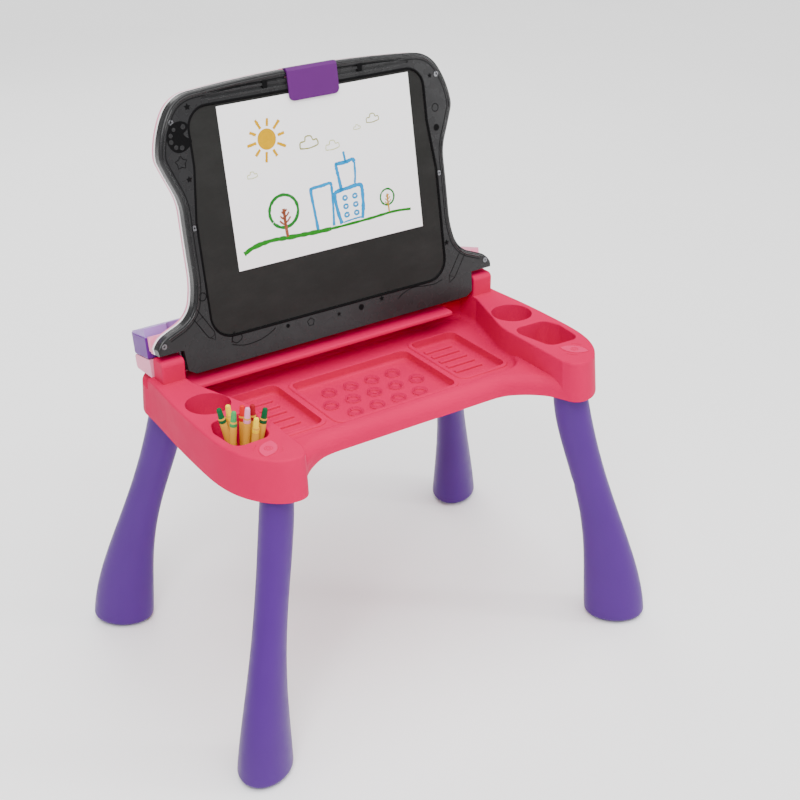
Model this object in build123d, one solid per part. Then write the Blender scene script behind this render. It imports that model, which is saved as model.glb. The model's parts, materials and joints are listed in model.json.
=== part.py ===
"""Child's learning desk with a flip-up electronic desktop, standing open as an easel.

Row frame, millimetres: X left to right for a child at the desk, Y away from the child, Z up.
The origin is on the floor at the middle of the four feet.
"""
from build123d import *
from math import atan2, cos, degrees, radians, sin
import os

os.makedirs("parts", exist_ok=True)

# ---- driving dimensions, tray ----------------------------------------------
SKIRT_BOTTOM = 350.0
ARM_TOP = 403.0
REAR_DECK = 388.0
LIP_TOP = 374.0
WELL_FLOOR = 364.0
RECESS_DEPTH = 11.0
WALL = 3.0
WELL_HALF = 191.5
LEDGE_TOP = 396.0
LIP_ROUND = 14.0
TROUGH_FRONT = 62.0
TROUGH_BACK = 98.5
TROUGH_HALF = 222.0
BLOCK_X = (223.0, 254.0)
BLOCK_Y = (70.0, 96.5)
BLOCK_TOP = 432.0
CUP_X, CUP_Y, CUP_R = 231.8, -2.9, 27.8
CUP_FLOOR = 356.0
BIN_CORNERS = [(203, -44), (252, -46), (260.5, -70), (256, -115), (209, -113), (199, -62)]

# ---- driving dimensions, legs ----------------------------------------------
PAD = 3.0
PLUG_ROOM = 383.0
LEG_TOPS = {"front": (221.1, -141.7), "rear": (221.5, 133.5)}
LEG_FEET = {"front": (282.4, -192.7), "rear": (287.9, 192.6)}
# height, share of the splay, half width along the splay, half width across it
LEG_SECTIONS = [(3, 1.0, 41.5, 33.2), (60, 0.91, 38.4, 28.3), (130, 0.726, 29.8, 22.4),
                (220, 0.393, 23.7, 19.7), (345, 0.0, 22.1, 19.1)]

# ---- driving dimensions, lid -----------------------------------------------
LID_TILT = 10.4
HINGE_Y, HINGE_Z = 84.2, 418.0
HINGE_V, HINGE_W = -30.7, -14.0
PIN_R = 5.0
PIN_GAP = 0.06
FRAME_DEPTH = 13.0
RIM_DEPTH = 4.0
LID_DEPTH = 24.0
SHELL = 2.6
EAR_V = -11.0
HEEL_V = -44.0
PAPER_U = 8.8
CRAYON_R = 4.3
TIP = 13.0
BOARD_POCKET = 3.6

tilt = radians(LID_TILT)
LID_Y = HINGE_Y - HINGE_V * sin(tilt) + HINGE_W * cos(tilt)
LID_Z = HINGE_Z - HINGE_V * cos(tilt) - HINGE_W * sin(tilt)
LID = Plane(
    origin=(0, LID_Y, LID_Z),
    x_dir=(1, 0, 0),
    z_dir=(0, -cos(tilt), sin(tilt)),
)
written = []


def save(name, shape, frame=None):
    """Write one node; frame is the plane that the shape was drawn in."""
    placed = shape if frame is None else shape.moved(frame.location)
    placed.label = name
    export_step(placed, f"parts/{name}.step")
    written.append(name)


def block(x, y, z, radius=0.0):
    """A box from three (low, high) ranges, its four Z edges rounded."""
    shape = Pos(sum(x) / 2, sum(y) / 2, sum(z) / 2) * Box(x[1] - x[0], y[1] - y[0], z[1] - z[0])
    if radius:
        shape = fillet(shape.edges().filter_by(Axis.Z), radius)
    return shape


def both_sides(shape):
    return shape + mirror(shape, Plane.YZ)


def closed(half):
    """Face from the right half of a symmetric outline."""
    return make_face(Curve() + half + [mirror(edge, Plane.YZ) for edge in half])


def at_height(shape, z, tolerance=0.05):
    """Edges that lie flat at one height."""
    def level(edge):
        span = edge.bounding_box()
        return max(abs(span.min.Z - z), abs(span.max.Z - z)) < tolerance

    return shape.edges().filter_by(level)


def bar(profile, u):
    """Bar along the frame's first axis whose section is a list of (second, third) coordinates."""
    face = make_face(Plane.YZ * Polyline(*profile, close=True))
    return Pos(u[0], 0, 0) * extrude(face, u[1] - u[0], dir=(1, 0, 0))


def rod(u, v, w, radius):
    """Cylinder along the frame's first axis."""
    return Pos(sum(u) / 2, v, w) * Rot(0, 90, 0) * Cylinder(radius, u[1] - u[0])


def studs(places, radius, w):
    """Cylinders along the frame's third axis at each place."""
    return Part() + [Pos(u, v, sum(w) / 2) * Cylinder(radius, w[1] - w[0]) for u, v in places]


# ---- tray ------------------------------------------------------------------
def tray_plan(points, inset=0.0):
    """Plan of the tray at one height: rear edge, rear corner, side, arm tip and front arch."""
    p = [points[0]]
    for before, here, after in zip(points, points[1:], points[2:]):
        run = (Vector(*after) - Vector(*before)).normalized()
        p.append((here[0] + run.Y * inset, here[1] - run.X * inset))
    p.append(points[-1])
    p[0] = (0, p[1][1])
    p[-1] = (0, p[-2][1])
    return closed([
        Line(p[0], p[1]),
        ThreePointArc(*p[1:4]),
        Spline(*p[3:9], tangents=[(0, -1), (-1, 0.02)]),
        ThreePointArc(*p[8:11]),
        Spline(*p[10:14], tangents=[(-0.35, 1), (-1, 0)]),
        Line(p[13], p[14]),
    ])


# rear edge, three points round the rear corner, side, three points round the arm tip, front arch
SKIRT_OUTLINE = [
    (0, 162), (208, 162), (244, 147), (264, 108), (270, 14), (273, -54), (269, -118), (251, -157),
    (214, -180), (200.5, -176.5), (193.8, -167), (179, -140), (150, -117.5), (113, -109.5), (0, -109.5),
]
TOP_OUTLINE = [
    (0, 160), (206, 160), (242, 145), (262, 107), (268, 16), (270, -50), (266, -113), (249, -152.5),
    (213, -175), (200.5, -172), (194, -162), (179.5, -138), (150, -116.5), (113, -109), (0, -109),
]


def well_plan(grow, front, corner=1.0):
    """Plan of the well between the arms, open at the hinge trough behind it."""
    side = WELL_HALF + grow
    trough_corner = (TROUGH_HALF + grow, TROUGH_FRONT - grow)
    swing = corner * (1 - cos(radians(45)))
    return closed([
        Line((0, TROUGH_BACK + grow), (TROUGH_HALF + grow, TROUGH_BACK + grow)),
        Line((TROUGH_HALF + grow, TROUGH_BACK + grow), trough_corner),
        Spline(trough_corner, (200 + grow, -6), (side, -50), tangents=[(-0.3, -1), (0, -1)]),
        Line((side, -50), (side, front + corner)),
        ThreePointArc((side, front + corner), (side - swing, front + swing), (side - corner, front)),
        Line((side - corner, front), (0, front)),
    ])


def recess(x, y, z, radius, depth):
    shape = block(x, y, (z - depth, z + 30), radius)
    return fillet(at_height(shape, z - depth), min(4.0, depth - 1))


def cup(grow):
    """Round cup, slightly tapered."""
    low = CUP_FLOOR - grow
    return Pos(CUP_X, CUP_Y, 0) * loft(
        [Pos(0, 0, low) * Circle(CUP_R - 2 + grow), Pos(0, 0, ARM_TOP + 20) * Circle(CUP_R + 0.6 + grow)])


def bin_cup(grow):
    """Larger cup with straight sides and round corners."""
    face = make_face(Polyline(*BIN_CORNERS, close=True))
    face = fillet(face.vertices(), 14)
    face = offset(face, grow) if grow else face
    return extrude(Pos(0, 0, CUP_FLOOR - grow) * face, 70)


def on_cup_rim(edge):
    """True for the top edges of the round cups and the bins."""
    x, y = abs(edge.center().X), edge.center().Y
    on_round = abs(x - CUP_X) < 4 and abs(y - CUP_Y) < 4
    on_bin = 198.5 < x < 261 and -116 < y < -43.5
    return (on_round or on_bin) and edge.length < 176


def socket_plan(place, grow):
    """Oval section of a leg's top, for the leg or for its socket."""
    (tx, ty), (fx, fy) = LEG_TOPS[place], LEG_FEET[place]
    half_along, half_across = LEG_SECTIONS[-1][2:]
    turn = degrees(atan2(fy - ty, fx - tx))
    return Pos(tx, ty) * Rot(0, 0, turn) * Ellipse(half_along + grow, half_across + grow)


CENTRE_RECESS = ((-90, 90), (-72, 48))
SIDE_RECESS = ((105, 178), (-62, 60))


def ring_places():
    """Centres of the raised rings: staggered rows of four, five and four."""
    return [(33 * (n - (count - 1) / 2), -14 + 31 * row) for row, count in ((-1, 4), (0, 5), (1, 4))
            for n in range(count)]


def make_floor_relief():
    """Raised rings in the middle recess and crayon rests in the side recesses."""
    floor = WELL_FLOOR - RECESS_DEPTH
    ring = Cylinder(9.4, 2.0) - Cylinder(7.6, 4)
    rings = Part() + [Pos(x, y, floor + 0.2) * ring for x, y in ring_places()]
    rings += Pos(0, -14, floor + 0.4) * Cylinder(2.2, 2.4)
    rest = Box(44, 6, 4)
    rest = fillet(rest.edges().group_by(Axis.Z)[-1], 1.8)
    middle = sum(SIDE_RECESS[0]) / 2
    places = [(side * middle, -43 + 17 * n) for side in (-1, 1) for n in range(6)]
    rests = Part() + [Pos(x, y, floor + 1.6) * rest for x, y in places]
    return rings + rests


def make_tray():
    plans = [Pos(0, 0, SKIRT_BOTTOM) * tray_plan(SKIRT_OUTLINE), Pos(0, 0, ARM_TOP) * tray_plan(TOP_OUTLINE)]
    body = loft(plans, ruled=True)
    body = fillet(at_height(body, ARM_TOP), 3)
    well = extrude(Pos(0, 0, LIP_TOP) * well_plan(0, -230), 60)
    floor = extrude(Pos(0, 0, WELL_FLOOR) * well_plan(0, -86, 34), LIP_TOP - WELL_FLOOR + 1)
    floor = fillet(at_height(floor, WELL_FLOOR), 7)
    deck = block((-300, 300), (TROUGH_BACK, 300), (REAR_DECK, 500))

    # the lip rolls over at its front and runs out along the foot of each arm
    lip = (body & block((-300, 300), (-230, 0), (300, LIP_TOP))) - floor
    lip = fillet(at_height(lip, LIP_TOP).filter_by(lambda edge: -88 < edge.center().Y < -20), 6)
    lip = fillet(at_height(lip, LIP_TOP).filter_by(lambda edge: edge.center().Y < -100), LIP_ROUND)
    lip &= block((-WELL_HALF - 2, WELL_HALF + 2), (-230, -40), (300, 500))

    shell = body - well - deck - floor - block((-WELL_HALF, WELL_HALF), (-230, -50), (300, LIP_TOP))
    inner_edges = at_height(shell, ARM_TOP).filter_by(
        lambda edge: abs(edge.center().X) < 212 and edge.center().Y < TROUGH_FRONT)
    shell = fillet(inner_edges, 2) + lip

    cavity = loft([Pos(0, 0, SKIRT_BOTTOM - 1) * tray_plan(SKIRT_OUTLINE, WALL),
                   Pos(0, 0, ARM_TOP - WALL) * tray_plan(TOP_OUTLINE, WALL)], ruled=True)
    cavity -= extrude(Pos(0, 0, LIP_TOP - 6 - WALL) * well_plan(WALL, -230), 60)
    cavity -= extrude(Pos(0, 0, WELL_FLOOR - WALL) * well_plan(WALL, -86 - WALL), 60)
    cavity -= block((-300, 300), (TROUGH_BACK, 300), (REAR_DECK - WALL, 500))
    recesses = [CENTRE_RECESS, SIDE_RECESS, ((-SIDE_RECESS[0][1], -SIDE_RECESS[0][0]), SIDE_RECESS[1])]
    for x, y in recesses:
        rim = block((x[0] - 5, x[1] + 5), (y[0] - 5, y[1] + 5), (WELL_FLOOR - 1, WELL_FLOOR + 2.2), 15)
        shell += fillet(at_height(rim, WELL_FLOOR + 2.2), 2)
    for x, y in recesses:
        shell -= recess(x, y, WELL_FLOOR, 11, RECESS_DEPTH)
        grown = ((x[0] - WALL, x[1] + WALL), (y[0] - WALL, y[1] + WALL))
        cavity -= block(*grown, (WELL_FLOOR - RECESS_DEPTH - WALL, 500), 13)
    shell -= both_sides(cup(0) + bin_cup(0))
    shell = fillet(at_height(shell, ARM_TOP).filter_by(on_cup_rim), 1.5)
    cavity -= both_sides(cup(2.6) + bin_cup(2.6))
    for place in LEG_TOPS:
        cavity -= both_sides(extrude(Pos(0, 0, SKIRT_BOTTOM) * socket_plan(place, 3.6), 60))
    shell -= cavity

    ledge = block((-TROUGH_HALF, 178), (TROUGH_FRONT - 3, TROUGH_BACK + 2), (LEDGE_TOP - 5, LEDGE_TOP))
    shell += fillet(ledge.edges().filter_by(Axis.X).group_by(Axis.Y)[0].sort_by(Axis.Z)[-1], 3)
    hinge_block = block(BLOCK_X, BLOCK_Y, (ARM_TOP - 2, BLOCK_TOP))
    hinge_block = fillet(hinge_block.edges().filter_by(Axis.X).group_by(Axis.Z)[-1], 7)
    hinge_block = fillet(hinge_block.edges().filter_by(Axis.Z), 2)
    bore = rod((BLOCK_X[0] - 2, BLOCK_X[1] - 6), HINGE_Y, HINGE_Z, PIN_R + PIN_GAP)
    shell = shell + both_sides(hinge_block) - both_sides(bore)
    for place in LEG_TOPS:
        hole = extrude(Pos(0, 0, SKIRT_BOTTOM - 1) * socket_plan(place, 0.3), PLUG_ROOM - SKIRT_BOTTOM + 1)
        shell -= both_sides(hole)
    return shell + make_floor_relief()


tray = make_tray()
save("tray", tray)


# ---- legs ------------------------------------------------------------------
def make_leg(place):
    """Hollow oval leg that flares into a wide foot; right-hand side, mirrored for the left."""
    (tx, ty), (fx, fy) = LEG_TOPS[place], LEG_FEET[place]
    turn = degrees(atan2(fy - ty, fx - tx))

    def skin(inset):
        rings = [Pos(tx + (fx - tx) * share, ty + (fy - ty) * share, z) * Rot(0, 0, turn)
                 * Ellipse(along - inset, across - inset) for z, share, along, across in LEG_SECTIONS]
        return loft(rings)

    shoulder = LEG_SECTIONS[-1][0]
    plug = extrude(Pos(0, 0, shoulder) * socket_plan(place, 0), PLUG_ROOM - 1 - shoulder)
    outer = fillet(at_height(skin(0), LEG_SECTIONS[0][0], 0.2), 7)
    room = split(skin(WALL), bisect_by=Plane.XY.offset(PAD + WALL), keep=Keep.TOP)
    return outer + plug - room


def make_foot_pad(place):
    fx, fy = LEG_FEET[place]
    tx, ty = LEG_TOPS[place]
    turn = degrees(atan2(fy - ty, fx - tx))
    pad = Pos(fx, fy) * Rot(0, 0, turn) * extrude(Ellipse(32, 24), PAD)
    return chamfer(at_height(pad, 0), 0.8)


for place in LEG_TOPS:
    leg = make_leg(place)
    save(f"leg_{place}_right", leg)
    save(f"leg_{place}_left", mirror(leg, Plane.YZ))
save("foot_pads", both_sides(make_foot_pad("front")) + both_sides(make_foot_pad("rear")))


# ---- lid: outlines, drawn on the plane of the black face -------------------
# crown, shoulder, waist and ear, joined by arcs that run smoothly into each other
LID_SIDE = [
    (0, 301), (162, 294), (197, 272.5), (213.4, 226.5), (212, 214), (199, 181),
    (193.2, 151), (193.4, 80), (198, 44), (222, 18), (240, 11), (255, -3),
]


def lid_plan(inset=0.0):
    """Outline of the lid: crown, shoulders, waist, hinge ears and hinge edge."""
    half = []
    heading = (1, 0)
    for start, end in zip(LID_SIDE, LID_SIDE[1:]):
        half.append(TangentArc(start, end, tangent=heading))
        heading = half[-1] % 1
    corners = [LID_SIDE[-1], (254, EAR_V), (221, EAR_V), (219, -38), (209, HEEL_V), (0, HEEL_V)]
    half += [Line(start, end) for start, end in zip(corners, corners[1:])]
    face = closed(half)
    return offset(face, -inset, kind=Kind.INTERSECTION) if inset else face


def above_ears(edges):
    return edges.filter_by(lambda edge: edge.center().Y > EAR_V + 5)


def board_plan(inset=0.0):
    """Outline of the chalkboard, a little narrower at its top."""
    right = [(178, -8), (178, 140), (170, 206), (170, 275)]
    left = [(-x, y) for x, y in reversed(right)]
    face = make_face(Polyline(*right, *left, close=True))
    face = fillet(face.vertices().sort_by(Axis.Y)[:2], 28)
    face = fillet(face.vertices().filter_by(lambda v: v.Y > 270), 25)
    face = fillet(face.vertices().filter_by(lambda v: abs(v.Y - 140) < 1 or abs(v.Y - 206) < 1), 80)
    return offset(face, -inset) if inset else face


SCREW_PLACES = [(s * u, v) for s in (-1, 1) for u, v in ((246, 0), (182.5, 133.9), (192.5, 262.7))]
CLIP_U = (-31.0, 41.0)
CLIP_HUB_V, CLIP_HUB_W, CLIP_HUB_R = 295.5, -7.0, 3.2
clip_notch = block((CLIP_U[0] - 1.5, CLIP_U[1] + 1.5), (291, 320), (-FRAME_DEPTH - RIM_DEPTH, 5))
knuckle_room = both_sides(rod((195, 222), HINGE_V, HINGE_W, 9.6))


def make_board_frame():
    skin = 6.0
    frame = extrude(lid_plan(), -FRAME_DEPTH)
    frame = fillet(above_ears(at_height(frame, 0)), 3)
    frame -= extrude(Pos(0, 0, -skin) * lid_plan(SHELL), -20)
    frame -= extrude(board_plan(), -BOARD_POCKET)
    frame -= extrude(board_plan(11), -20)
    frame += studs(SCREW_PLACES, 4.2, (-FRAME_DEPTH, -skin + 1))
    frame -= studs(SCREW_PLACES, 4.0, (-1.4, 1))
    frame -= studs(SCREW_PLACES, 1.5, (-20, 0))
    frame -= block((-150, 150), (283, 286.5), (-1.8, 1), 1.6)
    frame -= block((-150, 150), (289.5, 292.5), (-1.8, 1), 1.4)
    frame -= clip_notch
    cheeks = block((CLIP_U[0] - 7, CLIP_U[0] - 1.5), (289, 299), (-12, -5.9))
    cheeks += block((CLIP_U[1] + 1.5, CLIP_U[1] + 7), (289, 299), (-12, -5.9))
    frame += cheeks
    frame -= rod((CLIP_U[0] - 6, CLIP_U[1] + 6), CLIP_HUB_V, CLIP_HUB_W, 1.5)
    frame += both_sides(rod((197, 221), HINGE_V, HINGE_W, 9))
    frame -= both_sides(rod((197, 223), HINGE_V, HINGE_W, PIN_R))
    return frame


def make_desktop_shell():
    """Back shell: the desk's writing surface when the lid is closed."""
    start = FRAME_DEPTH + RIM_DEPTH
    shell = extrude(Pos(0, 0, -start) * lid_plan(), start - LID_DEPTH)
    shell = fillet(above_ears(at_height(shell, -LID_DEPTH)), 4)
    shell -= extrude(Pos(0, 0, -start + 1) * lid_plan(SHELL), LID_DEPTH * -1 + start - 1 + SHELL)
    shell += studs(SCREW_PLACES, 4.2, (-LID_DEPTH + 1, -FRAME_DEPTH))
    shell -= studs(SCREW_PLACES, 1.5, (-19, 0))
    page = block((-141, 141), (78, 284), (-LID_DEPTH - 5, -LID_DEPTH + 1.2), 10)
    shell -= page
    tabs = [Pos(su * 141, v, -LID_DEPTH + 0.4) * Cylinder(16, 0.8) for su in (-1, 1) for v in (78, 284)]
    shell += Part() + [tab & block((-141, 141), (78, 284), (-30, 0), 10) for tab in tabs]
    shell -= block((-60, 60), (-20, 20), (-30, -10), 6)
    return shell - knuckle_room


def make_rim():
    start = FRAME_DEPTH
    band = extrude(Pos(0, 0, -start) * lid_plan(), -RIM_DEPTH)
    band -= extrude(Pos(0, 0, -start + 1) * lid_plan(3.2), -RIM_DEPTH - 2)
    return band - clip_notch - knuckle_room - studs(SCREW_PLACES, 4.4, (-20, 0))


board_frame = make_board_frame()
save("board_frame", board_frame, LID)
save("chalkboard", extrude(Pos(0, 0, -BOARD_POCKET) * board_plan(0.8), BOARD_POCKET - 1.1), LID)
save("rim_band", make_rim(), LID)
save("desktop_shell", make_desktop_shell(), LID)
save("hinge_pins", both_sides(rod((198, 245), HINGE_V, HINGE_W, PIN_R)), LID)
save("lid_screws", studs(SCREW_PLACES, 3.4, (-1.4, 0.1)) + studs(SCREW_PLACES, 1.5, (-17, -1.4)), LID)
PAGE_CARD = block((-139, 139), (80, 282), (-LID_DEPTH + 0.8, -LID_DEPTH + 1.2), 8)
save("activity_page", PAGE_CARD, LID)
save("drawing_paper", block((PAPER_U - 139.7, PAPER_U + 139.7), (68.3, 271.7), (-1.1, -0.8)), LID)


# ---- paper clip ------------------------------------------------------------
def make_clip():
    plate = [(262, 0.6), (262, 3.0), (298.5, 3.0), (302.3, 0),
             (302.3, -7), (298.2, -7), (298.2, -2), (296, 0.6)]
    clip = bar(plate, CLIP_U)
    corners = clip.edges().filter_by(Axis.Z).group_by(Axis.Y)[0]
    clip = fillet(corners, 7)
    clip += block((CLIP_U[0] + 8, CLIP_U[1] - 8), (262.6, 267), (-0.75, 1))
    hub = rod(CLIP_U, CLIP_HUB_V, CLIP_HUB_W, CLIP_HUB_R)
    clip += hub
    clip -= rod((CLIP_U[0] - 1, CLIP_U[1] + 1), CLIP_HUB_V, CLIP_HUB_W, 1.55)
    return clip - block((-1, 11), (290, 299.2), (-14, -3.4))


save("paper_clip", make_clip(), LID)
save("clip_pin", rod((CLIP_U[0] - 6, CLIP_U[1] + 6), CLIP_HUB_V, CLIP_HUB_W, 1.5), LID)
spring_tube = rod((0, 10), CLIP_HUB_V, CLIP_HUB_W, 2.7) - rod((-1, 11), CLIP_HUB_V, CLIP_HUB_W, 1.8)
save("clip_spring", spring_tube, LID)


# ---- console on the back of the lid ----------------------------------------
MIDDLE = (-118.0, 195.0)
SLOPE = [(-4, -74), (58, -34)]
MIDDLE_SECTION = [(-46, -24), (-40, -74), *SLOPE, (60, -24)]
PANEL_NORMAL = Vector(0, SLOPE[1][1] - SLOPE[0][1], -(SLOPE[1][0] - SLOPE[0][0])).normalized()
PANEL = Plane(origin=(0, 27, -54), x_dir=(1, 0, 0), z_dir=(0, PANEL_NORMAL.Y, PANEL_NORMAL.Z))
panel_in_row = Plane(LID.location * PANEL.location)
PANEL_THICK = 1.6
NUMBER_KEYS = {column + 5 * row: (36 + 25 * column, 13 - 26 * row)
               for row in (0, 1) for column in range(5)}
MODE_BUTTONS = [(-104, 21), (-104, 0), (-104, -21)]
MUSIC_KEYS = [(-84 + 20 * k + 2, -22) for k in range(5)]
DISPLAY = ((-86, 2), (-8, 30))
SWITCH_AT = (172.0, 0.0)
SPEAKER_AT = (227.0, -21.0)
BATTERY_U = (24.0, 96.0)
BATTERY_DOOR = [(-48, -29), (-36.9, -29), (-32.1, -69), (-44, -69)]


def key_plug(at, size, radius, low, high, grow=0.0):
    """Rounded rectangle, or a disc where size is a number, standing on the panel plane."""
    if isinstance(size, tuple):
        face = RectangleRounded(size[0] + 2 * grow, size[1] + 2 * grow, radius + grow)
    else:
        face = Circle(size + grow)
    return Pos(at[0], at[1], low) * extrude(face, high - low)


KEYS = [(f"number_key_{n}", at, (19, 18), 4) for n, at in NUMBER_KEYS.items()]
KEYS += [(f"mode_button_{n + 1}", at, 8.0, 0) for n, at in enumerate(MODE_BUTTONS)]
KEYS += [(f"music_key_{n + 1}", at, (17, 15), 3) for n, at in enumerate(MUSIC_KEYS)]
key_holes = Part() + [key_plug(at, size, radius, -8, 12, 0.4) for _, at, size, radius in KEYS]
display_hole = block(*DISPLAY, (-8, 12), 4)
switch_slot = block((SWITCH_AT[0] - 3, SWITCH_AT[0] + 3), (-10, 10), (-8, 12), 2.9)
panel_cuts = (key_holes + display_hole + switch_slot).moved(PANEL.location)


def make_console():
    outer = bar(MIDDLE_SECTION, MIDDLE)
    outer = fillet(outer.edges().filter_by(Axis.X).sort_by(lambda e: e.center().Z)[:2], 6)
    room_section = [(-43.2, -20), (-37.6, -71.4), (-4.9, -71.4), (55.3, -32.6), (57.4, -20)]
    room = bar(room_section, (MIDDLE[0] + 2.6, MIDDLE[1] - 2.6))
    end_section = [(-45, -34.6), (-40, -74), (-6, -74), (9, -64), (13, -24), (-9, -24), (-9, -34.6)]
    right_end = bar(end_section, (193, 254))
    right_end = fillet(right_end.edges().filter_by(Axis.X).sort_by(lambda e: e.center().Z)[:2], 6)
    right_end += block((193, 220), (-45, -8), (-36, -24))
    right_room = bar([(-41.6, -37), (-37.6, -71.4), (-7.4, -71.4), (4, -62.2), (6, -37)], (192, 251.4))
    cradle_wall = bar([(-45, -34.6), (-40, -78), (-21.5, -78), (-21.5, -34.6)], (-254, -116))
    cradle_wall = fillet(cradle_wall.edges().filter_by(Axis.X).sort_by(lambda e: e.center().Z)[:2], 5)
    cradle_wall += block((-220, -116), (-45, -21.5), (-36, -24))
    cradle_floor = block((-254, -116), (-9, 9), (-29.5, -24)) + block((-220, -116), (-22, 12), (-29.5, -24))
    console = outer + right_end + cradle_wall + cradle_floor - room - right_room
    console -= panel_cuts
    console -= bar(BATTERY_DOOR, (BATTERY_U[0] - 0.3, BATTERY_U[1] + 0.3))
    console -= studs([SPEAKER_AT], 14.4, (-80, -70))
    return console - knuckle_room


console = make_console()
save("console_housing", console, LID)


def make_battery_door():
    band = bar([(-45.4, -29.3), (-42.4, -29.3), (-37.6, -68.7), (-40.6, -68.7)], BATTERY_U)
    hole = Pos(60, -43, -65) * Rot(90, 0, 0) * Cylinder(1.6, 12)
    return band - hole


save("battery_door", make_battery_door(), LID)
CELLS = [(-29.5, w) for w in (-34.2, -48.7, -63.2)]
cells = Part() + [rod((35, 84), v, w, 7.0) + rod((84, 85.5), v, w, 2.6) for v, w in CELLS]
save("battery_cells", cells, LID)
bay = block((30.5, 89.5), (-38, -20.2), (-71.3, -25.6)) - block((32.5, 87.5), (-39, -22), (-70.4, -27))
bay -= bar([(-50, -20), (-41.6, -20), (-36.9, -75), (-50, -75)], (0, 100))
save("battery_bay", bay, LID)
plates = Part() + [block(u, (v - 5, v + 5), (w - 5, w + 5))
                   for v, w in CELLS for u in ((32.5, 33.1), (87, 87.5))]
springs = Part() + [rod((33.1, 34.6), v, w, 4) - rod((33, 35), v, w, 3.2) for v, w in CELLS]
save("battery_contacts", plates + springs, LID)
door_screw = Pos(60, -42.6, -65) * Rot(90, 0, 0) * (Cylinder(1.5, 9) + Pos(0, 0, 3.4) * Cylinder(2.8, 1.6))
save("door_screw", door_screw, LID)

# ---- control panel ---------------------------------------------------------
PANEL_Y = (-33.9, 30.9)
panel_plate = block((MIDDLE[0] + 4, MIDDLE[1] - 5), PANEL_Y, (0, PANEL_THICK), 6)
panel_plate = panel_plate - key_holes - display_hole - switch_slot
save("control_panel", panel_plate, panel_in_row)
window_x, window_y = [(low + 0.3, high - 0.3) for low, high in DISPLAY]
window = block(window_x, window_y, (-1.2, PANEL_THICK), 3.8)
save("display_window", window, panel_in_row)
led_places = [(-82.5 + 5.3 * i, -4 + 6.0 * j) for i in range(16) for j in range(6)]
led_board = block((-88, 4), (-8, 30), (-8.0, -6.4))
led_board += Part() + [Pos(x, y, -5.7) * Box(3, 3, 1.4) for x, y in led_places]
save("led_board", led_board, panel_in_row)


def make_key(at, size, radius):
    """Key cap with the flange that keeps it behind the panel."""
    cap = key_plug(at, size, radius, -3.2, 5.0)
    cap = fillet(at_height(cap, 5.0), 1.6)
    return cap + key_plug(at, size, radius, -4.2, -2.9, 1.4)


for name, at, size, radius in KEYS:
    save(name, make_key(at, size, radius), panel_in_row)
switch = block((SWITCH_AT[0] - 2.6, SWITCH_AT[0] + 2.6), (-9.6, -2.4), (-3.4, 4.4), 2.3)
switch += block((SWITCH_AT[0] - 6, SWITCH_AT[0] + 6), (-14, 2), (-4.6, -3.0), 1)
save("power_switch", switch, panel_in_row)
membrane = block((25, 150), (-26, 26), (-8.0, -6.6), 3)
membrane += block((-113, -90), (-31, 31), (-8.0, -6.6), 3) + block((-90, 8), (-30, -13), (-8.0, -6.6), 3)
save("key_membrane", membrane, panel_in_row)
save("main_circuit_board", block((-112, 152), (-31, 30), (-9.8, -8.2), 2), panel_in_row)

su, sv = SPEAKER_AT
speaker = studs([SPEAKER_AT], 16.6, (-67.4, -65)) + studs([SPEAKER_AT], 14, (-65, -59))
speaker += studs([SPEAKER_AT], 9, (-59, -55))
save("speaker", speaker, LID)
grille_holes = [(su + 4 * i, sv + 4 * j) for i in range(-3, 4) for j in range(-3, 4) if i * i + j * j <= 9]
save("speaker_grille", studs([SPEAKER_AT], 14.2, (-75.0, -72.4)) - studs(grille_holes, 1.2, (-80, -70)), LID)


# ---- toy handset -----------------------------------------------------------
def make_handset():
    u0, u1 = -256, -122
    side = [(u0, -33), (u0, -80), (u1, -80), (u1, -33),
            (u1 - 32, -33), (u1 - 40, -50), (u0 + 40, -50), (u0 + 32, -33)]
    face = make_face(Polyline(*side, close=True))
    face = fillet(face.vertices().filter_by(lambda v: v.Y < -70), 10)
    face = fillet(face.vertices().filter_by(lambda v: abs(v.Y + 50) < 1), 8)
    profile = Plane.XZ * face
    body = Pos(0, 7, 0) * extrude(profile, 27.5)
    body = fillet(body.edges().group_by(Axis.Y)[0], 3)
    cap_face = make_face(Plane.YZ * Polyline((7, -33), (7, -77), (10, -72), (19, -33), close=True))
    wedge = Pos(u0, 0, 0) * extrude(cap_face, u1 - u0, dir=(1, 0, 0))
    cap = wedge & (Pos(0, 25, 0) * extrude(Plane.XZ * offset(face, -1), 30))
    return body, cap


handset, handset_cap = make_handset()
save("handset_body", handset, LID)
save("handset_cap", handset_cap, LID)

# ---- crayons, lid stops ----------------------------------------------------
# place of each crayon's foot and of its tip, in the left bin
CRAYONS = [((-236, -72), (-253, -72, 433)), ((-230, -62), (-235, -60, 427)), ((-246, -82), (-242, -88, 433)),
           ((-221, -66), (-220, -67, 425)), ((-226, -79), (-222, -84, 430)), ((-211, -70), (-209, -72, 425)),
           ((-226, -98), (-223, -106, 427)), ((-219, -91), (-208, -101, 433))]
crayons = Part()
for foot, tip in CRAYONS:
    foot, tip = Vector(*foot, CUP_FLOOR + 1.2), Vector(*tip)
    barrel = (tip - foot).length - TIP
    stick = Plane(origin=foot, z_dir=tip - foot)
    solid = Pos(0, 0, barrel / 2) * Cylinder(CRAYON_R, barrel)
    solid += Pos(0, 0, barrel + TIP / 2) * Cone(CRAYON_R - 0.6, CRAYON_R - 1.3, TIP)
    crayons += solid.moved(stick.location)
save("crayons", crayons)
stops = both_sides(block((140, 165), (110, 124), (REAR_DECK, 398.6), 4))
save("lid_stops", stops)
print(len(written), "nodes")
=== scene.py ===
import json
import math
import random

import bmesh
import bpy
from mathutils import Matrix, Vector


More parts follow.
